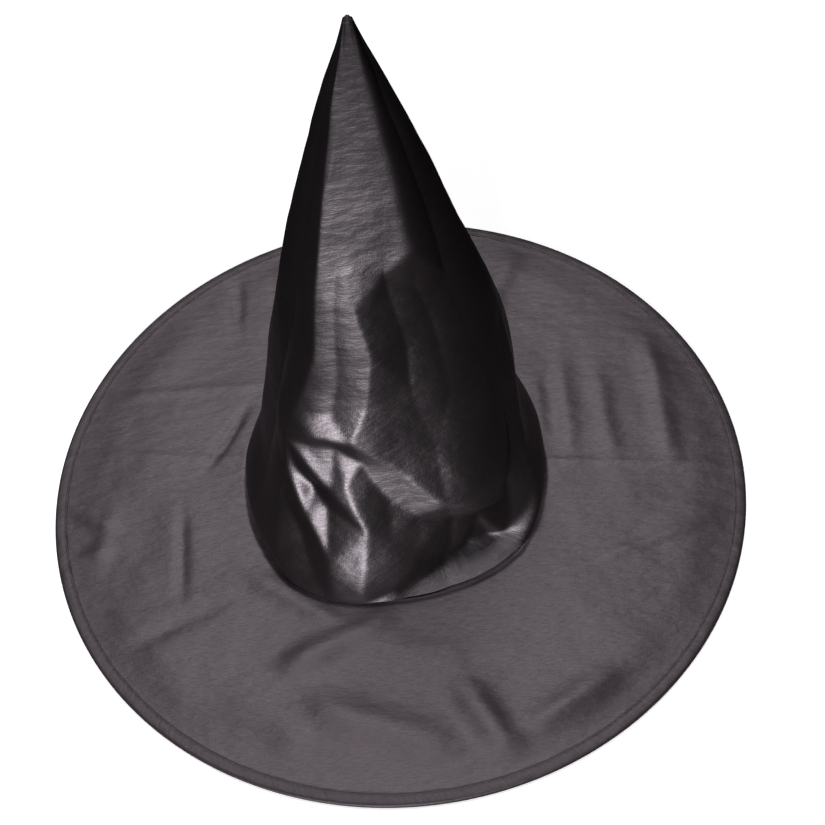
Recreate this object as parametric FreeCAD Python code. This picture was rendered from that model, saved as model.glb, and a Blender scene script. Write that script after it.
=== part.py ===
"""Pointed costume hat: a soft cone of coated cloth sewn to a flat round brim with a wired edge.

Units are millimetres. +Z is up and -Y is the front. The origin is on the surface that the brim lies on,
at the centre of the brim, which is also the axis of the head opening.

The crown is one flat sector rolled into a cone, so its girth falls evenly from the seam to the tip. It was
folded flat when it was packed, and it stays creased and wider than it is deep: each level is a rounded
square whose girth is the cone's. Its middle bows to the back and its tip nods forward.
Layers are counted inwards from the crown's outer surface and upwards from the brim's underside.
"""

import FreeCAD
import Part
import math
import os

# Driving dimensions
BRIM_RADIUS = 203.0
SEAM_RADIUS = 90.0  # outside of the crown where it meets the brim
CONE_RADIUS = 90.0  # radius of the rolled sector where it meets the brim
TIP_Z = 329.5
CLOTH_END_Z = 326.0
CLOTH = 0.35  # thickness of a plain cloth layer
INTERLINING = 0.8
PLAY = 0.1  # room between neighbouring layers
THREAD_RADIUS = 0.15
THREAD_GROOVE = 0.32  # depth that lets a thread lie below the surface
WIRE_RADIUS = 0.6
SLEEVE_WALL = 0.2

# The brim from its underside up
BINDING = 0.5
UNDER_Z = BINDING + PLAY
INTERLINING_Z = UNDER_Z + CLOTH + PLAY
TOP_Z = INTERLINING_Z + INTERLINING + PLAY
BRIM_TOP = TOP_Z + CLOTH
BINDING_HEIGHT = BRIM_TOP + PLAY + BINDING
BINDING_WIDTH = 7.0
STITCH_ROW = BRIM_RADIUS - BINDING_WIDTH + 1.2
BRIM_CUT = 3.5  # how far inside the brim's edge its cloths are cut
CROWN_FOOT_Z = BRIM_TOP + PLAY

# The crown from its outer surface in
CROWN_CLOTH = 0.5
LINING_DEPTH = CROWN_CLOTH + PLAY
LINING = 0.6
FLANGE_DEPTH = LINING_DEPTH + LINING + PLAY
STITCH_ROOM = 0.45  # between the brim cloth's turned-up edge and the sweatband
BAND_DEPTH = FLANGE_DEPTH + CLOTH + STITCH_ROOM
BAND = 0.5
OPENING_RADIUS = SEAM_RADIUS - BAND_DEPTH - BAND
FLANGE_TOP = 8.5
CLIPS = 24  # cuts that let the turned-up edge spread
CLIP_WIDTH = 1.6
CLIP_Z = 4.5
BAND_WIDTH = 10.0
BAND_Z = 1.0
BAND_REBATE = 0.7

# Levels of the crown: height, width over depth, how square it is (2 is an oval), and its centre in x and y
LEVELS = [
    (42.0, 0.98, 2.6, 0.0, 7.0),
    (85.0, 1.12, 2.8, 2.6, 17.0),
    (135.0, 1.18, 2.5, 2.2, 20.0),
    (181.0, 1.22, 2.4, 0.5, 21.0),
    (230.0, 1.25, 2.4, 1.0, 19.0),
    (280.0, 1.25, 2.4, 1.0, 12.0),
    (310.0, 1.20, 2.3, 1.5, 4.0),
    (CLOTH_END_Z, 1.20, 2.2, 1.8, -3.0),
]
FOOT_LEVELS = [(CROWN_FOOT_Z, SEAM_RADIUS), (12.0, SEAM_RADIUS - 0.4)]
SECTION_POINTS = 32

# Inside pieces
SEAM_ALLOWANCE = 8.0
SEAM_GAP = 1.2
LABEL_WIDTH = 32.0
LABEL_DROP = 18.0
LABEL_THICKNESS = 0.5
WIRE_JOIN_ANGLE = 188.0  # degrees from +X, where the wire's ends meet
WIRE_END_GAP = 2.0
SLEEVE_LENGTH = 20.0

Z = FreeCAD.Vector(0, 0, 1)
ORIGIN = FreeCAD.Vector(0, 0, 0)


def point(x, z):
    """A point of a profile in the XZ plane."""
    return FreeCAD.Vector(x, 0, z)


def turned(edges, angle=360.0, start=0.0):
    """The solid that a closed XZ profile sweeps about Z, from start, in degrees."""
    face = Part.Face(Part.Wire(edges))
    face.rotate(ORIGIN, Z, start)
    return face.revolve(ORIGIN, Z, angle)


def ring(inner, outer, low, high):
    """A flat ring or a short tube about Z."""
    corners = [point(inner, low), point(outer, low), point(outer, high), point(inner, high)]
    return turned(Part.makePolygon(corners + corners[:1]).Edges)


def thread_ring(radius, z):
    return Part.makeTorus(radius, THREAD_RADIUS, FreeCAD.Vector(0, 0, z), Z)


def cone_radius(z):
    """Radius of the rolled sector at a height, before it is flattened."""
    return max(CONE_RADIUS * (TIP_Z - z) / (TIP_Z - CROWN_FOOT_Z), 1.4)


def rounded_square(half_width, half_depth, exponent):
    """Points (x, y) round a rounded square; exponent 2 gives an oval."""
    points = []
    for i in range(SECTION_POINTS):
        t = 2 * math.pi * i / SECTION_POINTS
        across, along = abs(math.cos(t)) / half_width, abs(math.sin(t)) / half_depth
        radius = (across**exponent + along**exponent) ** (-1 / exponent)
        points.append((radius * math.cos(t), radius * math.sin(t)))
    return points


def half_sides(radius, ratio, exponent):
    """Half width and half depth of the rounded square that has the girth of a circle of that radius."""
    points = rounded_square(ratio, 1.0, exponent)
    girth = sum(math.dist(a, b) for a, b in zip(points, points[1:] + points[:1]))
    half_depth = 2 * math.pi * radius / girth
    return half_depth * ratio, half_depth


def section(z, half_width, half_depth, exponent, x, y):
    """A closed smooth curve at a height."""
    corners = rounded_square(half_width, half_depth, exponent)
    curve = Part.BSplineCurve()
    curve.interpolate([FreeCAD.Vector(x + u, y + v, z) for u, v in corners], PeriodicFlag=True)
    return Part.Wire(curve.toShape())


def round_section(z, radius):
    return section(z, radius, radius, 2.0, 0, 0)


def crown_core(depth, foot=None):
    """The solid cone that lies depth inside the crown's outer surface, from foot up."""
    sections = []
    if foot is not None:
        sections.append(round_section(foot, SEAM_RADIUS - depth))
    for z, radius in FOOT_LEVELS:
        sections.append(round_section(z, radius - depth))
    for z, ratio, exponent, x, y in LEVELS:
        half_width, half_depth = half_sides(cone_radius(z), ratio, exponent)
        if half_depth - depth > 0.5:
            sections.append(section(z, half_width - depth, half_depth - depth, exponent, x, y))
    return Part.makeLoft(sections, True, True)


def crown_layer(depth, thickness, foot=CROWN_FOOT_Z):
    """A layer of the crown, open at its foot."""
    outer = crown_core(depth)
    inner = crown_core(depth + thickness, foot - 3.0)
    return outer.cut(inner)


def back_strip(depth, thickness, low, high, left, right):
    """What a band across the back of the crown, from x = left to right, keeps of a layer."""
    box = Part.makeBox(right - left, BRIM_RADIUS, high - low, FreeCAD.Vector(left, 5, low))
    return crown_layer(depth, thickness).common(box)


def make_crown_cloth():
    return crown_layer(0.0, CROWN_CLOTH)


def make_crown_interlining():
    return crown_layer(LINING_DEPTH, LINING)


def make_crown_seam_allowances():
    """The two edges of the rolled sector, pressed open inside the back of the crown."""
    low, high = FLANGE_TOP + 1.0, LEVELS[5][0]
    near, far = SEAM_GAP / 2, SEAM_GAP / 2 + SEAM_ALLOWANCE
    left = back_strip(FLANGE_DEPTH, CLOTH, low, high, -far, -near)
    right = back_strip(FLANGE_DEPTH, CLOTH, low, high, near, far)
    return Part.makeCompound(left.Solids + right.Solids)


def make_crown_seam_thread():
    """The lockstitch of the back seam, between the two allowances."""
    low, high = FLANGE_TOP + 1.0, LEVELS[5][0]
    return back_strip(FLANGE_DEPTH, 2 * THREAD_RADIUS, low, high, -THREAD_RADIUS, THREAD_RADIUS)


def make_tip_tack():
    """Thread wound over the closed point."""
    foot_z = CLOTH_END_Z + PLAY
    foot_radius, nose_radius = 1.9, 0.6
    nose_z = TIP_Z - nose_radius
    slant = nose_radius * math.sqrt(0.5)
    sides = [point(0, TIP_Z), point(0, foot_z), point(foot_radius, foot_z), point(nose_radius, nose_z)]
    nose = Part.Arc(point(nose_radius, nose_z), point(slant, nose_z + slant), point(0, TIP_Z))
    tack = turned(Part.makePolygon(sides).Edges + [nose.toShape()])
    _, _, _, x, y = LEVELS[-1]
    tack.translate(FreeCAD.Vector(x, y, 0))
    return tack


def make_brim_top_cloth():
    """The upper brim cloth, with its clipped inner edge turned up inside the crown."""
    flange_outer = SEAM_RADIUS - FLANGE_DEPTH
    flange_inner = flange_outer - CLOTH
    edge = BRIM_RADIUS - BRIM_CUT
    corners = [
        point(flange_inner, TOP_Z),
        point(edge, TOP_Z),
        point(edge, BRIM_TOP),
        point(flange_outer, BRIM_TOP),
        point(flange_outer, FLANGE_TOP),
        point(flange_inner, FLANGE_TOP),
    ]
    cloth = turned(Part.makePolygon(corners + corners[:1]).Edges)
    for i in range(CLIPS):
        notch = Part.makeBox(6.0, CLIP_WIDTH, FLANGE_TOP, FreeCAD.Vector(flange_inner - 3.0, 0, CLIP_Z))
        notch.rotate(ORIGIN, Z, 360.0 * i / CLIPS)
        cloth = cloth.cut(notch)
    return cloth


def brim_layer(low, thickness):
    """A flat layer of the brim, cut to clear the sweatband and the hoop."""
    return ring(OPENING_RADIUS + BAND + PLAY, BRIM_RADIUS - BRIM_CUT, low, low + thickness)


def make_brim_interlining():
    return brim_layer(INTERLINING_Z, INTERLINING)


def make_brim_under_cloth():
    return brim_layer(UNDER_Z, CLOTH)


def make_edge_binding():
    """A strip folded over the brim's edge and round the wire, with a groove for each row of stitches."""
    inner, high = BRIM_RADIUS - BINDING_WIDTH, BINDING_HEIGHT
    middle = high / 2
    bend = BRIM_RADIUS - middle
    near, far = STITCH_ROW - THREAD_GROOVE / 2, STITCH_ROW + THREAD_GROOVE / 2
    underside = [
        point(bend, 0),
        point(far, 0),
        point(far, THREAD_GROOVE),
        point(near, THREAD_GROOVE),
        point(near, 0),
        point(inner, 0),
        point(inner, BINDING),
        point(bend, BINDING),
    ]
    topside = [
        point(bend, high - BINDING),
        point(inner, high - BINDING),
        point(inner, high),
        point(near, high),
        point(near, high - THREAD_GROOVE),
        point(far, high - THREAD_GROOVE),
        point(far, high),
        point(bend, high),
    ]
    edges = Part.makePolygon(underside).Edges + Part.makePolygon(topside).Edges
    edges.append(Part.Arc(underside[-1], point(BRIM_RADIUS - BINDING, middle), topside[0]).toShape())
    edges.append(Part.Arc(topside[-1], point(BRIM_RADIUS, middle), underside[0]).toShape())
    return turned(Part.__sortEdges__(edges))


def make_edge_stitching():
    """The needle thread in the binding's upper groove and the bobbin thread in the lower one."""
    bobbin = thread_ring(STITCH_ROW, THREAD_RADIUS)
    needle = thread_ring(STITCH_ROW, BINDING_HEIGHT - THREAD_RADIUS)
    return Part.makeCompound([bobbin, needle])


def bent_rod(radius, length, centre):
    """A round rod bent to the hoop's ring, length long, centred on an angle in degrees."""
    ring_radius = BRIM_RADIUS - BINDING_HEIGHT / 2
    angle = math.degrees(length / ring_radius)
    middle = FreeCAD.Vector(ring_radius, 0, BINDING_HEIGHT / 2)
    face = Part.Face(Part.Wire(Part.makeCircle(radius, middle, FreeCAD.Vector(0, 1, 0))))
    face.rotate(ORIGIN, Z, centre - angle / 2)
    return face.revolve(ORIGIN, Z, angle)


def make_edge_wire():
    """A spring-steel hoop: one length of wire whose ends stop short of each other."""
    around = 2 * math.pi * (BRIM_RADIUS - BINDING_HEIGHT / 2)
    return bent_rod(WIRE_RADIUS, around - WIRE_END_GAP, WIRE_JOIN_ANGLE + 180.0)


def make_wire_sleeve():
    """The tube crimped over both ends of the hoop."""
    bore = WIRE_RADIUS + 0.03
    tube = bent_rod(bore + SLEEVE_WALL, SLEEVE_LENGTH, WIRE_JOIN_ANGLE)
    return tube.cut(bent_rod(bore, SLEEVE_LENGTH + 1.0, WIRE_JOIN_ANGLE)).Solids[0]


def make_sweatband():
    """Woven tape inside the head opening, with a rebate for the stitches along its lower edge."""
    inner, outer = OPENING_RADIUS, OPENING_RADIUS + BAND
    low, high = BAND_Z, BAND_Z + BAND_WIDTH
    rebate_top = low + BAND_REBATE
    corners = [
        point(inner + THREAD_GROOVE, low),
        point(outer, low),
        point(outer, high),
        point(inner, high),
        point(inner, rebate_top),
        point(inner + THREAD_GROOVE, rebate_top),
    ]
    return turned(Part.makePolygon(corners + corners[:1]).Edges)


def make_sweatband_stitching():
    return thread_ring(OPENING_RADIUS + THREAD_RADIUS, BAND_Z + BAND_REBATE / 2)


def make_base_seam_stitching():
    """The lockstitch that joins crown and brim, behind the sweatband."""
    return thread_ring(OPENING_RADIUS + BAND + STITCH_ROOM / 2, CROWN_FOOT_Z + 3.0)


def make_care_label():
    """A blank folded label, held by the sweatband's seam at the back and lying up against the lining."""
    half = LABEL_WIDTH / 2
    low = BAND_Z + BAND_WIDTH + 0.5
    return back_strip(FLANGE_DEPTH + CLOTH + PLAY, LABEL_THICKNESS, low, low + LABEL_DROP, -half, half)


NODES = {
    "crown_cloth": make_crown_cloth,
    "crown_interlining": make_crown_interlining,
    "crown_seam_allowances": make_crown_seam_allowances,
    "crown_seam_thread": make_crown_seam_thread,
    "tip_tack": make_tip_tack,
    "brim_top_cloth": make_brim_top_cloth,
    "brim_interlining": make_brim_interlining,
    "brim_under_cloth": make_brim_under_cloth,
    "edge_binding": make_edge_binding,
    "edge_stitching": make_edge_stitching,
    "edge_wire": make_edge_wire,
    "wire_sleeve": make_wire_sleeve,
    "sweatband": make_sweatband,
    "sweatband_stitching": make_sweatband_stitching,
    "base_seam_stitching": make_base_seam_stitching,
    "care_label": make_care_label,
}


def main():
    os.makedirs("parts", exist_ok=True)
    for name, make in NODES.items():
        shape = make()
        print(name, shape.ShapeType, len(shape.Solids), shape.isValid(), round(shape.Volume, 1))
        shape.exportStep(f"parts/{name}.step")


main()
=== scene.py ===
import math

import bmesh
import bpy
import numpy as np
from mathutils import Matrix, Vector, noise
from mathutils.geometry import delaunay_2d_cdt


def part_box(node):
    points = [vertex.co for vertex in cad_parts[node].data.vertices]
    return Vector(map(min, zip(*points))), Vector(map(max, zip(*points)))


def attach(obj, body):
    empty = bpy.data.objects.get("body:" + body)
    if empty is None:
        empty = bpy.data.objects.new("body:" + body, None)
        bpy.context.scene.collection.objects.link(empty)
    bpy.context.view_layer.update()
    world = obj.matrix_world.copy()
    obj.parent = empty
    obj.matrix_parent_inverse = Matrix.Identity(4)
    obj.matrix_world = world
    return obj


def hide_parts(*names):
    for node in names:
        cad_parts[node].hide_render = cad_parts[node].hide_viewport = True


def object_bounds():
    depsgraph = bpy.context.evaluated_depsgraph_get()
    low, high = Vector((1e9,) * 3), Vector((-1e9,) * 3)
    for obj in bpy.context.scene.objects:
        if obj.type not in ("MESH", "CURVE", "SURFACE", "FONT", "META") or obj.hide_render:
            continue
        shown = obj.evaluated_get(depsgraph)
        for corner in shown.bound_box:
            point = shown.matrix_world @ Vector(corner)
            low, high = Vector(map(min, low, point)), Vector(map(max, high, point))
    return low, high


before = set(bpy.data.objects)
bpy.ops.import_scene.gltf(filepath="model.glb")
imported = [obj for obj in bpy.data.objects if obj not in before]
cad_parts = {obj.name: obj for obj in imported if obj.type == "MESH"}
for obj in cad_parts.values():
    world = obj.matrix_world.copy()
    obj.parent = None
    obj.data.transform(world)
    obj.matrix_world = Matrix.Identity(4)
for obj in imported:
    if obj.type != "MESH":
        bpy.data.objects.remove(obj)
cad_low, cad_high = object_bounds()

# The shapes below are worked out in millimetres, in the frame's axes, and made into meshes in metres.
# Azimuth is in degrees from the front, -Y, and grows towards +X.
MM = 0.001


def low(node):
    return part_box(node)[0] / MM


def high(node):
    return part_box(node)[1] / MM


# Sizes from the frame
BRIM_RADIUS = (high("edge_binding").x - low("edge_binding").x) / 2
HEM_TOP = high("edge_binding").z
SEAM_RADIUS = high("crown_cloth").x
FOOT_Z = low("crown_cloth").z
BRIM_TOP = FOOT_Z - 0.1  # the crown's foot stands this much over the brim's upper cloth
CLOTH_END_Z = high("crown_cloth").z
TIP_Z = cad_high.z / MM
BAND_LOW, BAND_HIGH = low("sweatband").z, high("sweatband").z
BAND_RADIUS = high("sweatband").x
UNDER_Z = low("brim_under_cloth").z
# Sizes of the binding that its box doesn't give
HEM_WIDTH = 7.0
STITCH_INSET = 5.8  # from the brim's edge to the row of stitches


# ---------------------------------------------------------------- shapes in numbers


def smooth_through(x, knots, values):
    """A monotone cubic through the knots, for any x between them."""
    knots, values = np.array(knots, float), np.array(values, float)
    steps = np.diff(knots)
    slopes = np.diff(values) / steps
    before = np.concatenate([slopes[:1], slopes[:-1], slopes[-1:]])
    after = np.concatenate([slopes[:1], slopes[1:], slopes[-1:]])
    tangents = np.where(before * after > 0, 2 * before * after / (before + after + 1e-12), 0)
    x = np.clip(x, knots[0], knots[-1])
    i = np.clip(np.searchsorted(knots, x, side="right") - 1, 0, len(steps) - 1)
    t = (x - knots[i]) / steps[i]
    h00, h10 = 2 * t**3 - 3 * t**2 + 1, t**3 - 2 * t**2 + t
    h01, h11 = -2 * t**3 + 3 * t**2, t**3 - t**2
    return (
        h00 * values[i]
        + h10 * steps[i] * tangents[i]
        + h01 * values[i + 1]
        + h11 * steps[i] * tangents[i + 1]
    )


def between(x, start, end):
    """A smooth rise from 0 at start to 1 at end."""
    t = np.clip((x - start) / (end - start), 0, 1)
    return t * t * (3 - 2 * t)


def blur(field, rows, columns):
    """A soft average over that many rows and columns, round the hat and up it."""
    for axis, reach in ((0, rows), (1, columns)):
        size = int(3 * reach)
        if size < 1:
            continue
        weights = np.exp(-0.5 * (np.arange(-size, size + 1) / reach) ** 2)
        weights /= weights.sum()
        pads = [(0, 0), (0, 0)]
        pads[axis] = (size, size)
        padded = np.pad(field, pads, mode="wrap" if axis == 1 else "edge")
        total = np.zeros_like(field)
        for k, weight in enumerate(weights):
            part = slice(k, k + field.shape[axis])
            total += weight * (padded[part] if axis == 0 else padded[:, part])
        field = total
    return field


def facets(u, v, lines, u_scale):
    """The height over each (u, v) of the faceted sheet that hangs on the lines' points, (u, v, height).

    u_scale is how many units of v a unit of u is worth when the facets are chosen.
    """
    points, heights, edges = [], [], []
    places = {}
    for line in lines:
        previous = None
        for a, b, h in line:
            if (a, b) not in places:
                places[(a, b)] = len(points)
                points.append(Vector((a * u_scale, b)))
                heights.append(h)
            here = places[(a, b)]
            if previous is not None:
                edges.append((previous, here))
            previous = here
    spots, _, faces, origins, _, _ = delaunay_2d_cdt(points, edges, [], 0, 1e-4)
    if len(spots) != len(points):
        raise ValueError("two fold lines cross")
    tall = np.zeros(len(spots))
    for i, origin in enumerate(origins):
        tall[i] = heights[origin[0]]
    result = np.zeros_like(u)
    x, y = u * u_scale, v
    for face in faces:
        (ax, ay), (bx, by), (cx, cy) = [spots[i] for i in face]
        area = (bx - ax) * (cy - ay) - (cx - ax) * (by - ay)
        near = (x >= min(ax, bx, cx) - 1e-6) & (x <= max(ax, bx, cx) + 1e-6)
        near &= (y >= min(ay, by, cy) - 1e-6) & (y <= max(ay, by, cy) + 1e-6)
        px, py = x[near], y[near]
        wb = ((px - ax) * (cy - ay) - (cx - ax) * (py - ay)) / area
        wc = ((bx - ax) * (py - ay) - (px - ax) * (by - ay)) / area
        wa = 1 - wb - wc
        inside = (wa >= -1e-6) & (wb >= -1e-6) & (wc >= -1e-6)
        where = np.flatnonzero(near.ravel())[inside]
        value = wa * tall[face[0]] + wb * tall[face[1]] + wc * tall[face[2]]
        result.ravel()[where] = value[inside]
    return result


def rumple(points, size, seed):
    """Smooth noise from -1 to 1 at each point, with features about that size."""
    places = points.reshape(-1, 3) / size + seed
    values = [noise.noise(Vector(place)) for place in places]
    return np.array(values).reshape(points.shape[:-1])


# ---------------------------------------------------------------- the crown's form

# Height, width over depth, how square the section is (2 is an oval), and its centre in x and y
CROWN_LEVELS = [
    (42, 0.98, 2.6, 0.0, 7.0),
    (85, 1.12, 2.8, 2.6, 17.0),
    (135, 1.18, 2.5, 2.2, 20.0),
    (181, 1.22, 2.4, 0.5, 21.0),
    (230, 1.25, 2.4, 1.0, 19.0),
    (280, 1.25, 2.4, 1.0, 12.0),
    (310, 1.20, 2.3, 1.5, 4.0),
]
TIP_CENTRE = (1.8, -3.0)
TIP_RADIUS = 1.2


def square_radius(azimuth, wide, deep, square):
    """Radius of a rounded square at an azimuth."""
    a = np.radians(azimuth)
    return (np.abs(np.sin(a) / wide) ** square + np.abs(np.cos(a) / deep) ** square) ** (-1 / square)


def crown_sections():
    """Height, centre x and y, half width, half depth and squareness of the crown's sections.

    The girths over the foot and under the tip are those of the rolled cone.
    """
    sections = [
        (0, 0.0, 0.0, SEAM_RADIUS, SEAM_RADIUS, 2.1),
        (12, 0.0, 1.0, SEAM_RADIUS - 1, SEAM_RADIUS - 0.5, 2.2),
    ]
    around = np.linspace(0, 360, 361)
    a = np.radians(around)
    for height, ratio, square, x, y in CROWN_LEVELS:
        radius = square_radius(around, ratio, 1.0, square)
        girth = np.hypot(np.diff(radius * np.sin(a)), np.diff(radius * np.cos(a))).sum()
        cone = SEAM_RADIUS * (TIP_Z - height) / (TIP_Z - FOOT_Z)
        deep = 2 * math.pi * cone / girth
        sections.append((height, x, y, deep * ratio, deep, square))
    return sections + [(TIP_Z + 0.5, *TIP_CENTRE, TIP_RADIUS, TIP_RADIUS, 2.0)]


SECTIONS = crown_sections()


def crown_frame(height):
    """Centre, half width, half depth and squareness of the crown at each height."""
    knots = [s[0] for s in SECTIONS]
    return [smooth_through(height, knots, [s[i] for s in SECTIONS]) for i in range(1, 6)]


def plain_radius(azimuth, height):
    """Radius of the crown's plain form, before it is folded."""
    _, _, wide, deep, square = crown_frame(height)
    return square_radius(azimuth, wide, deep, square)


def flat(azimuth, height, left, right):
    """A fold point on the flat facet between two others, (azimuth, offset), at its height."""
    spots = []
    for a, out in (left, right):
        reach = float(plain_radius(a, height)) + out
        spots.append((reach * math.sin(math.radians(a)), -reach * math.cos(math.radians(a))))
    (ax, ay), (bx, by) = spots
    facing = (by - ay, ax - bx)
    way = (math.sin(math.radians(azimuth)), -math.cos(math.radians(azimuth)))
    reach = (facing[0] * ax + facing[1] * ay) / (facing[0] * way[0] + facing[1] * way[1])
    return azimuth, height, reach - float(plain_radius(azimuth, height))


# Azimuth and how far out the cloth stands, on the folds beside the flat front and on the crown's sides.
# The left fold changes with height.
LEFT_FOLD = {
    303: (-46, 0.6),
    273: (-46, 1.2),
    228: (-44, 2.4),
    200: (-42, 3.4),
    171: (-41, 4.4),
    150: (-41, 4.6),
}
RIGHT_FOLD = (36, 0.6)
LEFT_SIDE = (-100, 0)
RIGHT_SIDE = (95, 0)
# The same for the hollow under the flat front: its left edge, and the fold on its right
HOLLOW_LEFT = (-14, 1.0)
HOLLOW_RIGHT = (55, -6.0)
FRONT_HEIGHTS = (303, 273, 228, 200)
FOLD_TOP = 330


def flat_front(azimuth):
    """A fold line down the flat front, which hardly shows because its facets are in one plane."""
    return [(azimuth, FOLD_TOP, 0)] + [flat(azimuth, z, LEFT_FOLD[z], RIGHT_FOLD) for z in FRONT_HEIGHTS]


# Folds of the crown: azimuth, height, and how far out the cloth stands
ELBOW = (-50, 92, 8.5)
CROWN_FOLDS = [
    # the fold that runs from the tip to the elbow
    [(-46, FOLD_TOP, 0), *[(a, z, out) for z, (a, out) in LEFT_FOLD.items()],
     (-41, 142, 4.6), (-45, 125, 4.2), (-49, 107, 5.5), ELBOW],
    # the flat cheek to its left
    [(-70, FOLD_TOP, 0), *[flat(-70, z, LEFT_SIDE, LEFT_FOLD[z]) for z in (*FRONT_HEIGHTS, 150)],
     (-72, 107, -5), (-72, 80, -4.5), (-74, 45, -3), (-72, 15, -1)],
    [(-100, FOLD_TOP, 0), (-100, 228, 0), (-100, 150, 0), (-104, 90, 1.0), (-104, 40, 1.0)],
    # the flat front above the fold that crosses it
    [*flat_front(-14), (-17, 171, 1.0)],
    [*flat_front(-30), flat(-30, 171, LEFT_FOLD[171], HOLLOW_LEFT)],
    flat_front(22),
    [*flat_front(12), (8, 186, -2.2)],
    [(36, FOLD_TOP, 0), (38, 303, 0.6), (44, 285, 0.8), (40, 267, 0.6), (36, 219, 0.6), (36, 197, 0.6)],
    [(-17, 171, 1.0), (8, 186, -2.2), (36, 197, 0.6)],
    # the hollow below it, and the strip that stays lit to its left
    [(-17, 171, 1.0), (-9, 143, 1.0), (-14, 113, 1.4), (-21, 95, 6.5)],
    [flat(-30, 171, LEFT_FOLD[171], HOLLOW_LEFT), flat(-30, 150, LEFT_FOLD[150], HOLLOW_LEFT),
     (-30, 125, 0.3), (-32, 107, 1.0)],
    [(-7, 167, -1.5), (10, 172, -5.5), (34, 172, -7.5)],
    [flat(14, 152, HOLLOW_LEFT, HOLLOW_RIGHT), flat(15, 140, HOLLOW_LEFT, HOLLOW_RIGHT), (12, 116, -5.0)],
    [flat(38, 155, HOLLOW_LEFT, HOLLOW_RIGHT), flat(38, 140, HOLLOW_LEFT, HOLLOW_RIGHT), (36, 110, -8.0),
     (42, 85, -5.0)],
    # the flat cheek on the right
    [(66, FOLD_TOP, 0), *[flat(66, z, RIGHT_FOLD, RIGHT_SIDE) for z in FRONT_HEIGHTS], (60, 171, -7.0),
     (60, 125, -7.5), (63, 95, -6.5), (67, 66, -6.0)],
    [(98, FOLD_TOP, 0), (98, 228, 0), (97, 150, 0.5), (96, 110, 1.0), (96, 60, 0.5), (95, 20, 0.0)],
    # the buckle from the elbow across the front, and its lower branch to the right-hand corner
    [ELBOW, (-35, 97, 7.5), (-21, 95, 6.5), (3, 88, 0.6), (19, 81, -3.0), (34, 51, -1.8), (44, 43, 1.0)],
    [(-21, 95, 6.5), (0, 75, 1.4), (21, 51, -2.2), (44, 43, 1.0)],
    [(-42, 90, 4.0), (-30, 88, 1.0)],
    [(-30, 88, 1.0), (-23, 70, 4.2), (-17, 56, 4.0), (-13, 46, 2.5)],
    # folds that fan out from the elbow down to the foot
    [ELBOW, (-29, 66, 3.5), (-13, 46, 2.5), (-14, 28, 1.5), (-16, 12, 0.5)],
    [(-47, 74, 2.0), (-39, 62, -4.0), (-31, 55, -2.5)],
    [(-49, 70, 5.0), (-38, 50, 3.0), (-28, 30, 1.5), (-27, 14, 0.5)],
    [(-51, 52, 0.5), (-41, 33, -4.5), (-34, 17, -3.0)],
    [ELBOW, (-49, 70, 5.0), (-54, 45, 2.0), (-50, 18, 0.5)],
    # the hollow above the foot, and the ledge under it
    [(-17, 80, 1.0), (-12, 68, -1.5), (-5, 58, -4.0), (8, 46, -7.5), (24, 38, -13.0), (36, 32, -15.0)],
    [(-4, 40, -3.5), (8, 28, -10.0)],
    [(-16, 12, 0.5), (-6, 5, -7.0), (5, 5, -15.0), (20, 5.5, -24.0), (33, 6, -27.0),
     (43, 6, -23.0), (49, 6.5, -15.0)],
    # the deep crease inside the flared foot on the right
    [(49, 6.5, -15.0), (57, 40, -10.0), (67, 66, -6.0)],
    [(55, 7, -1.5), (65, 26, 0.5), (75, 48, 1.0), (80, 75, 0.5)],
    # the back, creased the same way
    [(120, FOLD_TOP, 0), (124, 240, 1.2), (126, 170, 3.0), (124, 110, 4.5), (130, 88, 6.0), (126, 55, 1.0),
     (128, 20, 0.5)],
    [(130, 88, 6.0), (152, 96, 4.0), (168, 84, 5.0), (180, 88, 5.2)],
    [(-180, 88, 5.2), (-168, 92, 5.5), (-146, 84, 5.5), (-130, 92, 4.0), (-104, 90, 1.0)],
    [(140, 66, -3.5), (156, 42, -5.0), (170, 26, -4.0)],
    [(150, 130, -2.0), (160, 180, -1.5), (165, 240, -0.8)],
    [(-146, 84, 5.5), (-140, 50, 0.5), (-146, 20, 0.5)],
    [(-160, 62, -4.0), (-166, 36, -5.5), (-174, 22, -3.0)],
    [(-128, 60, -3.5), (-124, 36, -3.0)],
    [(-150, 130, -1.5), (-146, 190, -1.0)],
]
# Azimuth, and how far the seam round the foot strays from its circle
FOOT_LINE = [
    (-180, 0), (-135, 0), (-97, -1), (-83, -2), (-61, -1), (-42, 3), (-28, 2), (-15, -1), (-3, -3.5),
    (16, -4.5), (31, -3), (47, -1.5), (71, -4), (98, -4), (135, -1), (180, 0),
]
OVER_TIP = 332
# Height, and how far out the cloth stands, up the seam at the back
BACK_LINE = [(20, 0), (60, 0), (88, 5.2), (110, 2), (200, 0), (OVER_TIP, 0)]
UNDER_FOOT = -1.0
MM_PER_DEGREE = 1.1  # of azimuth, about 100 mm up the crown

CROWN_COLUMNS, CROWN_ROWS = 360, 210


def crown_offsets(azimuth, height):
    """How far out of its plain form the folded cloth stands."""
    foot = [(a, FOOT_Z, out) for a, out in FOOT_LINE]
    base = [(a, UNDER_FOOT, out) for a, out in FOOT_LINE]
    back = [[(side, z, out) for z, out in BACK_LINE] for side in (-180, 180)]
    top = [(a, OVER_TIP, 0) for a in (-180, -90, 0, 90, 180)]
    return facets(azimuth, height, CROWN_FOLDS + [foot, base] + back + [top], MM_PER_DEGREE)


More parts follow.
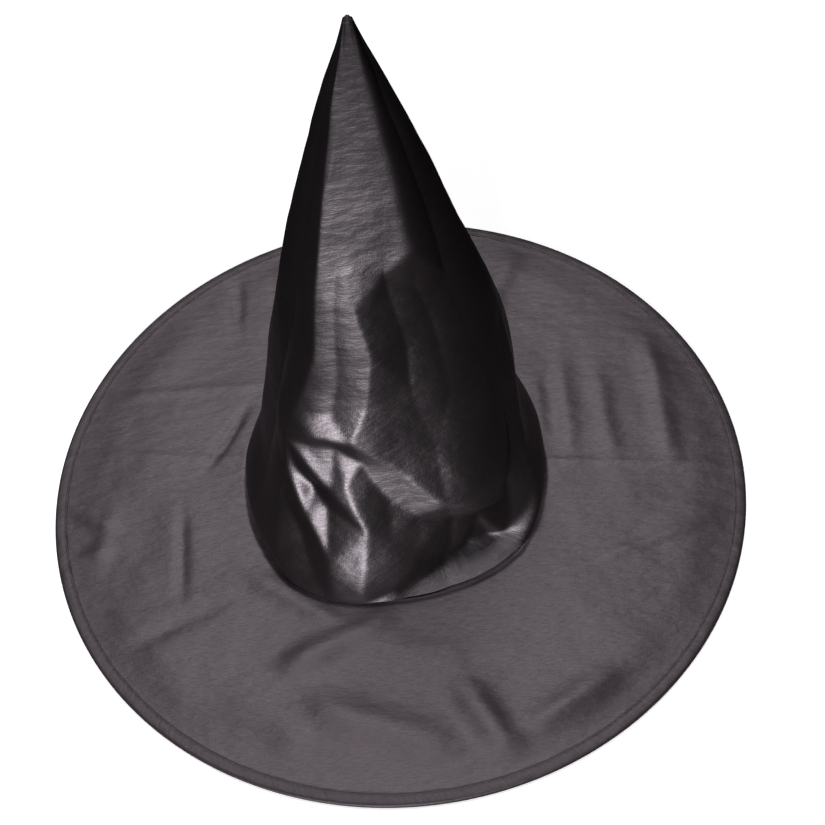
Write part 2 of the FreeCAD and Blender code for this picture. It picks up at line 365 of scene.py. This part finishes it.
def crown_surface(azimuth, height, inset=0.0):
    """Points of the folded crown at a grid of azimuths and heights, inset by a distance."""
    cx, cy = crown_frame(height)[:2]
    a = np.radians(azimuth)
    radius = plain_radius(azimuth, height)
    sharp = crown_offsets(azimuth, np.maximum(height, FOOT_Z))
    column = azimuth.shape[1] / CROWN_COLUMNS
    offset = blur(sharp, 0.9, 0.9 * column)
    # the flat front is softened more than the creases round it
    front = between(azimuth, -40, -30) * between(azimuth, 64, 48) * between(height, 185, 205)
    offset += (blur(sharp, 2.0, 5.0 * column) - offset) * front
    radius = radius + offset - inset
    points = np.stack([cx + radius * np.sin(a), cy - radius * np.cos(a), height], -1)
    fine = rumple(points, 26.0, 3.1) * 0.5 + rumple(points, 11.0, 7.7) * 0.15
    fade = np.clip((height - FOOT_Z) / 12, 0, 1) * np.clip((CLOTH_END_Z - height) / 60, 0.05, 1)
    points[..., 0] += fine * fade * np.sin(a)
    points[..., 1] -= fine * fade * np.cos(a)
    return points


def crown_grid():
    """Azimuths and points of the whole folded crown, closer together near the foot."""
    t = np.linspace(0, 1, CROWN_ROWS)
    heights = FOOT_Z + (CLOTH_END_Z - FOOT_Z) * (0.72 * t + 0.28 * t**2)
    azimuth, height = np.meshgrid(np.linspace(-180, 180, CROWN_COLUMNS, endpoint=False), heights)
    return azimuth, crown_surface(azimuth, height)


# ---------------------------------------------------------------- meshes


def mesh_from_grid(name, points, uv=None, wrap=True, loop=False, flip=False):
    """An object from a grid of points, rows by columns, in millimetres, with its cloth's own coordinates.

    wrap joins the last column to the first, and loop the last row to the first. The coordinates then have
    one more column, or row, than the points.
    """
    rows, columns = points.shape[:2]
    spans = columns if wrap else columns - 1
    steps = rows if loop else rows - 1
    r, c = np.meshgrid(np.arange(steps), np.arange(spans), indexing="ij")
    corner_rows = np.stack([r, r, r + 1, r + 1], -1).reshape(-1, 4)
    corner_columns = np.stack([c, c + 1, c + 1, c], -1).reshape(-1, 4)
    if flip:
        corner_rows, corner_columns = corner_rows[:, ::-1], corner_columns[:, ::-1]
    quads = (corner_rows % rows) * columns + corner_columns % columns
    mesh = bpy.data.meshes.new(name)
    mesh.from_pydata((points.reshape(-1, 3) * MM).tolist(), [], quads.tolist())
    mesh.polygons.foreach_set("use_smooth", np.ones(len(quads), bool))
    if uv is not None:
        layer = mesh.uv_layers.new(name="cloth")
        places = uv[corner_rows.reshape(-1), corner_columns.reshape(-1)]
        layer.data.foreach_set("uv", places.reshape(-1).astype(np.float32))
    obj = bpy.data.objects.new(name, mesh)
    bpy.context.scene.collection.objects.link(obj)
    return obj


def close_end(obj, ring_start, columns, centre):
    """Closes the ring of vertices from ring_start with a fan to the centre point, in millimetres."""
    mesh = obj.data
    work = bmesh.new()
    work.from_mesh(mesh)
    work.verts.ensure_lookup_table()
    layer = work.loops.layers.uv.active
    ring = [work.verts[ring_start + i] for i in range(columns)]
    tip = work.verts.new(Vector(centre) * MM)
    for a, b in zip(ring, ring[1:] + ring[:1]):
        face = work.faces.new((a, b, tip))
        face.smooth = True
        for loop in face.loops:
            loop[layer].uv = (0.0, 0.0)
    work.to_mesh(mesh)
    work.free()


def make_rods(name, lines, radius, sides=6):
    """Round rods along lines of points, in millimetres, as one object. All lines have as many points."""
    lines = np.array(lines)
    count, steps = lines.shape[:2]
    along = np.gradient(lines, axis=1)
    along /= np.linalg.norm(along, axis=-1, keepdims=True)
    side = np.cross(along, (0.13, 0.21, 0.97))
    side /= np.linalg.norm(side, axis=-1, keepdims=True)
    other = np.cross(along, side)
    turn = 2 * math.pi * np.arange(sides) / sides
    circle = np.cos(turn)[:, None] * side[..., None, :] + np.sin(turn)[:, None] * other[..., None, :]
    spots = lines[..., None, :] + radius * circle
    k, i, j = np.meshgrid(np.arange(count), np.arange(steps - 1), np.arange(sides), indexing="ij")
    first = (k * steps + i) * sides
    after = (j + 1) % sides
    quads = np.stack([first + j, first + after, first + sides + after, first + sides + j], -1)
    quads = quads.reshape(-1, 4)
    ends = [list(range(c * steps * sides, c * steps * sides + sides))[::-1] for c in range(count)]
    ends += [list(range(((c + 1) * steps - 1) * sides, (c + 1) * steps * sides)) for c in range(count)]
    mesh = bpy.data.meshes.new(name)
    mesh.from_pydata((spots.reshape(-1, 3) * MM).tolist(), [], quads.tolist() + ends)
    mesh.polygons.foreach_set("use_smooth", np.ones(len(quads) + len(ends), bool))
    obj = bpy.data.objects.new(name, mesh)
    bpy.context.scene.collection.objects.link(obj)
    return obj


def stitch_row(path, length, gap, dip):
    """Lines for a row of stitches. path is the row's length and a function point_at(distance, drop).

    The ends of each stitch are given a drop of minus dip, which takes them into the cloth.
    """
    total, point_at = path
    count = int(total / (length + gap))
    bends = np.array([-0.5, -0.42, 0, 0.42, 0.5])
    drops = np.array([-dip, 0, 0, 0, -dip])
    lines = []
    for i in range(count):
        middle = total * (i + 0.5) / count
        lines.append([point_at(middle + length * b, drop) for b, drop in zip(bends, drops)])
    return lines


def add_piece(obj, material, slot, *nodes):
    obj.data.materials.append(material)
    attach(obj, "root")
    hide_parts(*nodes)
    return obj


# ---------------------------------------------------------------- materials


class Shader:
    """A short way to write a node tree."""

    def __init__(self, name):
        self.material = bpy.data.materials.new(name)
        self.material.use_nodes = True
        self.nodes = self.material.node_tree.nodes
        self.links = self.material.node_tree.links
        self.principled = self.nodes["Principled BSDF"]

    def node(self, kind, inputs=(), **settings):
        made = self.nodes.new("ShaderNode" + kind)
        for key, value in settings.items():
            setattr(made, key, value)
        for key, value in dict(inputs).items():
            self.put(made.inputs[key], value)
        return made

    def put(self, socket, value):
        if isinstance(value, bpy.types.NodeSocket):
            self.links.new(value, socket)
        else:
            socket.default_value = value

    def set(self, **values):
        for key, value in values.items():
            self.put(self.principled.inputs[key.replace("_", " ")], value)

    def maths(self, operation, a, b=0.0):
        made = self.node("Math", operation=operation)
        self.put(made.inputs[0], a)
        self.put(made.inputs[1], b)
        return made.outputs[0]

    def cloth_noise(self, across, along, detail, seed=0.0):
        """Noise on the cloth's own coordinates, with features across by along millimetres."""
        place = self.node("UVMap", uv_map="cloth").outputs[0]
        scale = (1 / across, 1 / along, 1)
        scaled = self.node("Mapping", {"Vector": place, "Scale": scale, "Location": (seed, seed, 0)})
        inputs = {"Vector": scaled.outputs[0], "Scale": 1.0, "Detail": detail}
        return self.node("TexNoise", inputs).outputs[0]

    def mix(self, share, a, b):
        made = self.node("Mix", data_type="RGBA")
        self.put(made.inputs[0], share)
        self.put(made.inputs[6], a)
        self.put(made.inputs[7], b)
        return made.outputs[2]

    def spread(self, value, low_in, high_in, low_out=0.0, high_out=1.0):
        made = self.node("MapRange", {0: value, 1: low_in, 2: high_in, 3: low_out, 4: high_out})
        return made.outputs[0]

    def bump(self, height, distance, strength, before=None):
        inputs = {"Height": height, "Distance": distance, "Strength": strength}
        if before is not None:
            inputs["Normal"] = before
        return self.node("Bump", inputs).outputs[0]


SHINE_TINT = (1.0, 0.89, 0.98, 1)


def taffeta(name, dark, light, shine=0.9, roughness=0.42):
    """Black polyester taffeta: it takes its look from a satin shine that spreads across its slubbed weft."""
    s = Shader(name)
    slubs = s.cloth_noise(5.0, 0.6, 3.0)
    picks = s.cloth_noise(1.4, 0.35, 1.0, 4.0)
    ends = s.cloth_noise(0.35, 5.0, 1.0, 9.0)
    clouds = s.cloth_noise(70.0, 50.0, 3.0, 2.0)
    lines = s.maths("ADD", s.maths("MULTIPLY", slubs, 0.55), s.maths("MULTIPLY", picks, 0.3))
    weave = s.maths("ADD", lines, s.maths("MULTIPLY", ends, 0.15))
    tone = s.spread(weave, 0.36, 0.64)
    cloudy = s.maths("MULTIPLY", s.spread(clouds, 0.3, 0.7), 0.25)
    tone = s.maths("ADD", s.maths("MULTIPLY", tone, 0.75), cloudy)
    s.set(Base_Color=s.mix(tone, (*dark, 1), (*light, 1)))
    s.set(Roughness=s.spread(weave, 0.35, 0.65, roughness + 0.06, roughness - 0.06))
    s.set(Specular_IOR_Level=shine, Specular_Tint=SHINE_TINT)
    s.set(Anisotropic=0.6, Anisotropic_Rotation=0.25)
    s.set(Tangent=s.node("Tangent", direction_type="UV_MAP", uv_map="cloth").outputs[0])
    crinkles = s.cloth_noise(14.0, 6.0, 5.0, 6.0)
    s.set(Normal=s.bump(weave, 0.0002, 0.9, s.bump(crinkles, 0.0008, 0.8)))
    return s.material


def plain_material(name, colour, roughness, grain=0.4, depth=0.0001, metallic=0.0):
    """A surface with a fine grain in its own colour, for the pieces that hardly show."""
    s = Shader(name)
    place = s.node("TexCoord").outputs["Object"]
    fine = s.node("TexNoise", {"Vector": place, "Scale": 1 / (grain * MM), "Detail": 3.0}).outputs[0]
    dark = tuple(0.7 * x for x in colour)
    s.set(Base_Color=s.mix(s.spread(fine, 0.3, 0.7), (*dark, 1), (*colour, 1)))
    s.set(Roughness=s.spread(fine, 0.3, 0.7, roughness, roughness + 0.12), Metallic=metallic)
    s.set(Normal=s.bump(fine, depth, 0.5))
    return s.material


# The brim and the crown are one taffeta. The brim's copy has a lighter base colour: painted light that
# stands in for the brim's sheen.
BRIM_TAFFETA_PAINTED_LIGHT = taffeta(
    "brim_taffeta_painted_light", dark=(0.009, 0.0065, 0.008), light=(0.036, 0.026, 0.031), shine=0.6, roughness=0.5
)
# The crown's copy of the same taffeta has a darker base colour: painted shade that keeps the crown's sides
# black. The seam allowances use it too.
CROWN_TAFFETA_PAINTED_SHADE = taffeta("crown_taffeta_painted_shade", dark=(0.004, 0.003, 0.0035), light=(0.011, 0.009, 0.010))
HEM_TAFFETA = taffeta(
    "hem_taffeta", dark=(0.016, 0.012, 0.015), light=(0.026, 0.020, 0.025), shine=0.42, roughness=0.5
)
RIBBON = taffeta(
    "ribbon", dark=(0.010, 0.009, 0.010), light=(0.022, 0.020, 0.023), shine=0.5, roughness=0.55
)
NON_WOVEN = plain_material("non_woven", (0.05, 0.05, 0.052), 0.85, grain=1.2, depth=0.0002)
THREAD = plain_material("thread", (0.02, 0.018, 0.02), 0.5, grain=0.25)
LABEL = plain_material("label_satin", (0.74, 0.73, 0.70), 0.5, grain=0.5)
WIRE = plain_material("spring_steel", (0.42, 0.42, 0.43), 0.35, grain=0.8, depth=0.00002, metallic=1.0)


# ---------------------------------------------------------------- the crown

SLANT_PER_HEIGHT = 1.04
SECTOR_SHARE = 0.266  # of a full turn


def crown_cloth_place(azimuth, points):
    """Where each point of the crown lies on the flat sector that it was cut as, in millimetres."""
    slant = (TIP_Z + 0.5 - points[..., 2]) * SLANT_PER_HEIGHT
    turn = np.radians(azimuth) * SECTOR_SHARE
    return np.stack([slant * np.sin(turn), -slant * np.cos(turn)], -1)


def with_seam(uv, last_column):
    """The cloth's coordinates with one more column, so that they don't jump back across the join."""
    return np.concatenate([uv, last_column], axis=1)


def make_crown():
    azimuth, points = crown_grid()
    last = np.full((CROWN_ROWS, 1), 180.0)
    uv = with_seam(crown_cloth_place(azimuth, points), crown_cloth_place(last, points[:, :1]))
    crown = mesh_from_grid("crown_cloth_folded", points, uv)
    tip = points[-1].mean(0) + (0, 0, 0.8)
    close_end(crown, (CROWN_ROWS - 1) * CROWN_COLUMNS, CROWN_COLUMNS, tip)
    return add_piece(crown, CROWN_TAFFETA_PAINTED_SHADE, "crown_cloth", "crown_cloth")


def inward(points, distance):
    """The grid moved inwards, square to its own surface."""
    across = np.roll(points, -1, axis=1) - np.roll(points, 1, axis=1)
    upward = np.gradient(points, axis=0)
    normals = np.cross(across, upward)
    normals /= np.linalg.norm(normals, axis=-1, keepdims=True)
    return points - normals * distance


LINING_INSET = 0.9
LINING_ROWS_SHORT = 14  # the lining stops this many rows of the grid under the tip


def make_lining():
    _, points = crown_grid()
    points = inward(points, LINING_INSET)[:-LINING_ROWS_SHORT]
    lining = mesh_from_grid("crown_lining", points, flip=True)
    return add_piece(lining, NON_WOVEN, "interlining", "crown_interlining")


# ---------------------------------------------------------------- inside the crown


def inner_band(inset, low_z, lengths, columns):
    """A band inside the crown's foot: up to the seam, then along the cloth for the given lengths."""
    heights = np.concatenate([[low_z], np.linspace(FOOT_Z, 26, 80)])
    azimuth, height = np.meshgrid(np.linspace(-180, 180, columns, endpoint=False), heights)
    points = crown_surface(azimuth, np.maximum(height, FOOT_Z))
    points[1:] = inward(points[1:], inset)
    points[0] = points[1]
    points[0, :, 2] = low_z
    gone = np.cumsum(np.linalg.norm(np.diff(points, axis=0), axis=-1), axis=0)
    gone = np.concatenate([np.zeros((1, columns)), gone])
    band = np.empty((len(lengths), columns, 3))
    for c in range(columns):
        for k in range(3):
            band[:, c, k] = np.interp(lengths, gone[:, c], points[:, c, k])
    return band


def make_sweatband():
    columns = 360
    lengths = np.linspace(0, BAND_HIGH - BAND_LOW, 12)
    front = inner_band(2.3, BAND_LOW, lengths, columns)
    back = inner_band(1.8, BAND_LOW, lengths, columns)
    points = np.concatenate([front, back[::-1]])
    around = np.linspace(0, 2 * math.pi * BAND_RADIUS, columns + 1)
    across = np.concatenate([lengths, 2 * lengths[-1] + 0.5 - lengths[::-1], [2 * lengths[-1] + 1]])
    u, v = np.meshgrid(around, across)
    band = mesh_from_grid("sweatband_tape", points, np.stack([v, u], -1), loop=True, flip=True)
    return add_piece(band, RIBBON, "sweatband", "sweatband")


def ring_path(ring):
    """The length of a closed ring of points, and the point at a distance along it, moved off its axis."""
    count = len(ring)
    total = np.linalg.norm(ring - np.roll(ring, -1, axis=0), axis=1).sum()

    def point_at(distance, drop):
        place = (distance / total) % 1.0 * count
        i = int(place) % count
        spot = ring[i] + (ring[(i + 1) % count] - ring[i]) * (place - int(place))
        outward = np.array([spot[0], spot[1], 0]) / math.hypot(spot[0], spot[1])
        return spot + outward * drop

    return total, point_at


def make_band_stitches():
    ring = inner_band(inset=2.4, low_z=BAND_LOW, lengths=[0.7], columns=720)[0]
    row = stitch_row(ring_path(ring), length=2.6, gap=0.7, dip=-0.4)
    stitches = make_rods("sweatband_stitches", row, 0.14)
    return add_piece(stitches, THREAD, "thread", "sweatband_stitching")


def make_base_stitches():
    ring = inner_band(inset=1.7, low_z=BAND_LOW, lengths=[3.4], columns=720)[0]
    row = stitch_row(ring_path(ring), length=2.4, gap=0.6, dip=-0.4)
    stitches = make_rods("base_seam_stitches", row, 0.13)
    return add_piece(stitches, THREAD, "thread", "base_seam_stitching")


def back_strip(name, left, right, low_z, high_z, inset, columns, rows, thickness):
    """A strip of cloth up the inside of the crown's back, from left to right in millimetres."""
    heights = np.linspace(low_z, high_z, rows)
    wide = np.linspace(left, right, columns)
    x, height = np.meshgrid(wide, heights)
    _, _, _, deep, _ = crown_frame(height)
    azimuth = 180 - np.degrees(np.arctan2(x, deep))
    layers = []
    for depth in (inset, inset + thickness):
        full = np.concatenate([azimuth, azimuth[:, ::-1]], axis=1)
        tall = np.concatenate([height, height], axis=1)
        layers.append(crown_surface((full + 180) % 360 - 180, tall, depth)[:, :columns])
    points = np.concatenate([layers[0], layers[1][::-1]])
    uv = np.stack(np.meshgrid(wide, np.linspace(low_z, 2 * high_z - low_z, len(points) + 1)), -1)
    return mesh_from_grid(name, points, uv, wrap=False, loop=True)


SEAM_TOP = 280  # height that the back seam's allowances and stitches reach


def make_allowances():
    pieces = []
    for side, left, right in (("left", -8.6, -0.6), ("right", 0.6, 8.6)):
        strip = back_strip(
            f"seam_allowance_{side}", left, right, BAND_HIGH + 1, SEAM_TOP, inset=1.3, columns=7, rows=90,
            thickness=0.35,
        )
        pieces.append(add_piece(strip, CROWN_TAFFETA_PAINTED_SHADE, "crown_cloth", "crown_seam_allowances"))
    return pieces


def make_label():
    label = back_strip(
        "label_blank", -16, 16, BAND_HIGH - 2, BAND_HIGH + 16, inset=2.9, columns=17, rows=12, thickness=0.4
    )
    return add_piece(label, LABEL, "label", "care_label")


def make_seam_stitches():
    """The lockstitch of the back seam, seen between its two allowances."""
    count = 540
    heights = np.linspace(BAND_HIGH + 1, SEAM_TOP, count)
    azimuth = np.full((count, 3), 180.0)
    spots = crown_surface(azimuth, np.stack([heights] * 3, 1), 1.2)[:, 1]
    total = SEAM_TOP - BAND_HIGH - 1

    def point_at(distance, drop):
        place = min(max(distance / total, 0), 1) * (count - 1.01)
        i = int(place)
        spot = spots[i] + (spots[i + 1] - spots[i]) * (place - i)
        return spot + np.array([0, -drop, 0])

    row = stitch_row((total, point_at), length=2.4, gap=0.5, dip=0.3)
    stitches = make_rods("crown_seam_stitches", row, 0.14)
    return add_piece(stitches, THREAD, "thread", "crown_seam_thread")


def make_tip_thread():
    """Thread wound round the closed point and tied off over it."""
    turns, steps = 9, 260
    t = np.linspace(0, 1, steps)
    a = t * turns * 2 * math.pi
    radius = 1.45 - 0.85 * t + 0.12 * np.sin(a * 0.37 + 1)
    x, y = TIP_CENTRE
    z = TIP_Z - 3.9 + 2.9 * t + 0.2 * np.sin(a * 0.7)
    line = np.stack([x + radius * np.cos(a), y + radius * np.sin(a), z], -1)
    thread = make_rods("tip_thread", [line], 0.24, 7)
    return add_piece(thread, THREAD, "thread", "tip_tack")


# ---------------------------------------------------------------- the brim

# Folds of the brim's upper cloth: x and y of each end, height, half width
BRIM_FOLDS = [
    (-12, -97, -66, -120, 3.2, 8),
    (-24, -112, 20, -124, 1.6, 11),
    (-52, -146, 12, -172, 3.4, 11),
    (24, -140, 47, -180, 3.2, 9),
    (62, -165, 101, -145, 2.8, 9),
    (-95, -135, -60, -162, 1.6, 12),
    (-189, -11, -174, -18, 1.8, 4),
    (-188, -40, -173, -36, 1.6, 4),
    (163, 75, 162, -5, 1.4, 7),
    (128, 56, 128, 0, 0.9, 6),
    (107, 62, 104, 5, 1.0, 6),
    (90, 55, 89, 22, 0.9, 5),
    (112, -72, 164, -56, 1.0, 4),
    (-178, 74, -80, 74, 0.7, 4),
    (-96, 170, -95, 128, -1.4, 4),
    (-92, 52, -110, 20, -1.4, 4),
    (-127, -20, -126, -66, -1.0, 4),
    (-150, -98, -106, -80, -1.0, 5),
    (-82, -66, -42, -94, 1.8, 7),
    (-168, -10, -176, -44, 0.8, 6),
    (60, 110, 90, 165, 1.4, 9),
    (20, 115, 10, 180, -1.2, 8),
    (-40, 120, -60, 175, 1.4, 9),
]
BRIM_COLUMNS, BRIM_ROWS = 540, 96
CLOTH_RADIUS = BRIM_RADIUS - 2.5  # of both brim cloths, which stop inside the binding
CREASE_SLOPE = 0.13


def packing_crease(x, y):
    """Distance from the straight crease across the brim, where it was folded to be packed."""
    return (y - 8 + CREASE_SLOPE * x) / math.hypot(1, CREASE_SLOPE)


def brim_height(x, y):
    """Height of the brim's upper cloth over its flat layer."""
    rise = np.zeros_like(x)
    for x0, y0, x1, y1, tall, wide in BRIM_FOLDS:
        dx, dy = x1 - x0, y1 - y0
        length = math.hypot(dx, dy)
        along = ((x - x0) * dx + (y - y0) * dy) / length
        across = ((x - x0) * dy - (y - y0) * dx) / length
        fade = 1 / (1 + np.exp(-(along + 2) / 5)) / (1 + np.exp((along - length - 2) / 5))
        rise += tall * fade * np.exp(-((across / wide) ** 2))
    crease = packing_crease(x, y)
    rise += 0.7 * np.exp(-np.abs(crease) / 2.5)
    return rise


def brim_points(radius, azimuth, base):
    a = np.radians(azimuth)
    x, y = radius * np.sin(a), -radius * np.cos(a)
    spots = np.stack([x, y, 0 * x], -1)
    soft = rumple(spots, 48.0, 5.3) * 1.1 + rumple(spots, 20.0, 1.9) * 0.4
    edge = between(radius, BRIM_RADIUS - 5, BRIM_RADIUS - 30)
    rise = (brim_height(x, y) + soft * 0.8 + 1.1) * edge
    return np.stack([x, y, base + np.maximum(rise, 0.0)], -1)


def make_brim_top():
    """The upper brim cloth: its inner edge is turned up inside the crown's foot."""
    azimuths = np.linspace(-180, 180, BRIM_COLUMNS, endpoint=False)
    flange = inner_band(1.25, BRIM_TOP, np.linspace(5.0, 0, 7), BRIM_COLUMNS)
    foot = np.hypot(flange[-1, :, 0], flange[-1, :, 1])
    share = np.linspace(0, 1, BRIM_ROWS)[:, None] ** 1.15
    radius = foot * (1 - share) + CLOTH_RADIUS * share
    azimuth = np.broadcast_to(azimuths, radius.shape)
    points = brim_points(radius, azimuth, BRIM_TOP)
    away = np.clip((radius - foot - 1.0) / 3, 0, 1)
    points[..., 2] = BRIM_TOP + (points[..., 2] - BRIM_TOP) * away
    uv = np.concatenate([flange[..., :2] * (1 - (flange[..., 2:] - BRIM_TOP) / 85), points[..., :2]])
    points = np.concatenate([flange, points[1:]])
    uv = np.delete(uv, len(flange), axis=0)
    uv = with_seam(uv, uv[:, :1])
    brim = mesh_from_grid("brim_top", points, uv)
    return add_piece(brim, BRIM_TAFFETA_PAINTED_LIGHT, "brim_cloth", "brim_top_cloth")


def make_brim_under():
    radii = np.linspace(BAND_RADIUS + 0.3, CLOTH_RADIUS, 70)
    azimuth, radius = np.meshgrid(np.linspace(180, -180, BRIM_COLUMNS, endpoint=False), radii)
    a = np.radians(azimuth)
    x, y = radius * np.sin(a), -radius * np.cos(a)
    spots = np.stack([x, y, 0 * x], -1)
    z = UNDER_Z + 0.12 * rumple(spots, 22.0, 8.8) - 0.2 * np.exp(-np.abs(packing_crease(x, y)) / 2.0)
    points = np.stack([x, y, z], -1)
    uv = points[..., :2]
    uv = with_seam(uv, uv[:, :1])
    under = mesh_from_grid("brim_under", points, uv)
    return add_piece(under, BRIM_TAFFETA_PAINTED_LIGHT, "brim_cloth", "brim_under_cloth")


HEM_MIDDLE = HEM_TOP / 2
BUMPS = (-82, -76)  # azimuths of the two small bumps in the binding, over the wire's sleeve and beside it
STRIP_WIDTH = 17.0  # of the flat strip that the binding is folded from
# The binding's upper side: distance from the brim's edge, and height over the binding's middle
HEM_SECTION = [
    (-HEM_WIDTH, HEM_MIDDLE - 0.25),
    (-HEM_WIDTH + 0.5, HEM_MIDDLE),
    (-STITCH_INSET - 0.5, HEM_MIDDLE),
    (-STITCH_INSET, HEM_MIDDLE - 0.12),
    (-STITCH_INSET + 0.6, HEM_MIDDLE),
    (-3.2, HEM_MIDDLE + 0.05),
    (-1.9, HEM_MIDDLE),
]


def hem_row(x, z, azimuth):
    """A line round the binding at a place of its section, puckered a little by its stitches."""
    a = np.radians(azimuth)
    circle = np.stack([np.sin(a), -np.cos(a), 0 * a], -1)
    edge = circle * BRIM_RADIUS
    pucker = rumple(edge, 6.0, 2.0 + x * 0.06) * 0.25 + rumple(edge, 30.0, 4.0) * 0.15
    for bump in BUMPS:
        pucker = pucker + 0.5 * np.exp(-(((azimuth - bump) / 1.5) ** 2))
    share = min(1.0, -x / 3) * (1.0 if z > 0 else 0.15)
    row = circle * (BRIM_RADIUS + x)
    row[:, 2] = np.clip(HEM_MIDDLE + z + pucker * share, 0, None)
    return row


def make_hem():
    """The binding: a strip folded over the edge, with a groove along its stitches."""
    columns = 900
    turns = np.radians([70, 45, 20, 0])
    bends = [(-HEM_MIDDLE + HEM_MIDDLE * math.cos(t), HEM_MIDDLE * math.sin(t)) for t in turns]
    upper = HEM_SECTION + bends
    profile = upper + [(x, -z) for x, z in reversed(upper[:-1])]
    azimuth = np.linspace(-180, 180, columns, endpoint=False)
    points = np.stack([hem_row(x, z, azimuth) for x, z in profile])
    around = np.linspace(0, 2 * math.pi * BRIM_RADIUS, columns + 1)
    u, v = np.meshgrid(around, np.linspace(0, STRIP_WIDTH, len(profile)))
    on_the_bias = np.stack([(u + v) * 0.7, (u - v) * 0.7], -1)
    hem = mesh_from_grid("hem_binding", points, on_the_bias)
    return add_piece(hem, HEM_TAFFETA, "binding", "edge_binding")


def make_edge_stitches():
    azimuth = np.linspace(-180, 180, 1440, endpoint=False)
    lines = []
    for z, side in ((HEM_MIDDLE - 0.08, 1), (0.16 - HEM_MIDDLE, -1)):
        ring = hem_row(-STITCH_INSET, z, azimuth)
        total, point_at = ring_path(ring)

        def sunk(distance, drop):
            return point_at(distance, 0) + np.array([0, 0, side * drop])

        lines += stitch_row((total, sunk), length=2.7, gap=0.8, dip=0.45)
    stitches = make_rods("edge_stitches", lines, 0.15)
    return add_piece(stitches, THREAD, "thread", "edge_stitching")


# ---------------------------------------------------------------- stage, light and camera


def make_floor():
    mesh = bpy.data.meshes.new("floor")
    side = 6.0
    corners = [(-side, -side, 0), (side, -side, 0), (side, side, 0), (-side, side, 0)]
    mesh.from_pydata(corners, [], [(0, 1, 2, 3)])
    floor = bpy.data.objects.new("floor", mesh)
    bpy.context.scene.collection.objects.link(floor)
    floor.location.z = cad_low.z - 0.0001
    s = Shader("pale_floor")
    s.set(Base_Color=(0.92, 0.92, 0.92, 1), Roughness=0.9, Specular_IOR_Level=0.1)
    s.set(Emission_Color=(1, 1, 1, 1), Emission_Strength=0.28)
    mesh.materials.append(s.material)
    floor.visible_diffuse = False
    floor.visible_glossy = False


def add_light(name, azimuth, elevation, distance, size, power):
    data = bpy.data.lights.new(name, "AREA")
    data.shape = "DISK"
    data.size = size
    data.energy = power
    light = bpy.data.objects.new(name, data)
    a, e = math.radians(azimuth), math.radians(elevation)
    target = Vector((0, 0, 0.1))
    towards = Vector((math.sin(a) * math.cos(e), -math.cos(a) * math.cos(e), math.sin(e)))
    light.location = target + towards * distance
    light.rotation_euler = towards.to_track_quat("Z", "Y").to_euler()
    bpy.context.scene.collection.objects.link(light)


def make_lights():
    add_light("key", azimuth=-10, elevation=20, distance=2.2, size=0.6, power=60)
    add_light("back_top", azimuth=-177, elevation=68, distance=2.0, size=1.5, power=37)
    world = bpy.data.worlds.new("studio")
    world.use_nodes = True
    nodes, links = world.node_tree.nodes, world.node_tree.links
    seen = nodes.new("ShaderNodeLightPath")
    level = nodes.new("ShaderNodeMapRange")
    level.inputs["To Min"].default_value = 0.03
    level.inputs["To Max"].default_value = 0.85
    links.new(seen.outputs["Is Camera Ray"], level.inputs["Value"])
    links.new(level.outputs[0], nodes["Background"].inputs["Strength"])
    bpy.context.scene.world = world


def make_camera():
    """A camera in front of the hat and above it, tilted a little on its axis."""
    elevation, roll = math.radians(53.5), math.radians(-5.5)
    aim = Vector((12.5, -23.0, 90.0)) * MM
    distance = 0.7
    back = Vector((0, -math.cos(elevation), math.sin(elevation)))
    across = Matrix.Rotation(roll, 3, back) @ Vector((1, 0, 0))
    up = back.cross(across)
    data = bpy.data.cameras.new("camera")
    data.lens = 57.7
    camera = bpy.data.objects.new("camera", data)
    turned = Matrix((across, up, back)).transposed().to_4x4()
    camera.matrix_world = Matrix.Translation(aim + back * distance) @ turned
    bpy.context.scene.collection.objects.link(camera)
    bpy.context.scene.camera = camera


def declare_cloths():
    """Makes the hat's pieces: the cloths, the tip's thread, the seam allowances and the rows of stitches."""
    crown = make_crown()
    lining = make_lining()
    top = make_brim_top()
    under = make_brim_under()
    hem = make_hem()
    band = make_sweatband()
    label = make_label()
    tip = make_tip_thread()
    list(make_allowances())
    make_seam_stitches()
    make_edge_stitches()
    make_band_stitches()
    make_base_stitches()


declare_cloths()
for node, material in (
    ("brim_interlining", NON_WOVEN),
    ("edge_wire", WIRE),
    ("wire_sleeve", WIRE),
):
    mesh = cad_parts[node].data
    mesh.materials.clear()
    mesh.materials.append(material)
make_floor()
make_lights()
make_camera()
bpy.context.scene.view_settings.view_transform = "Standard"
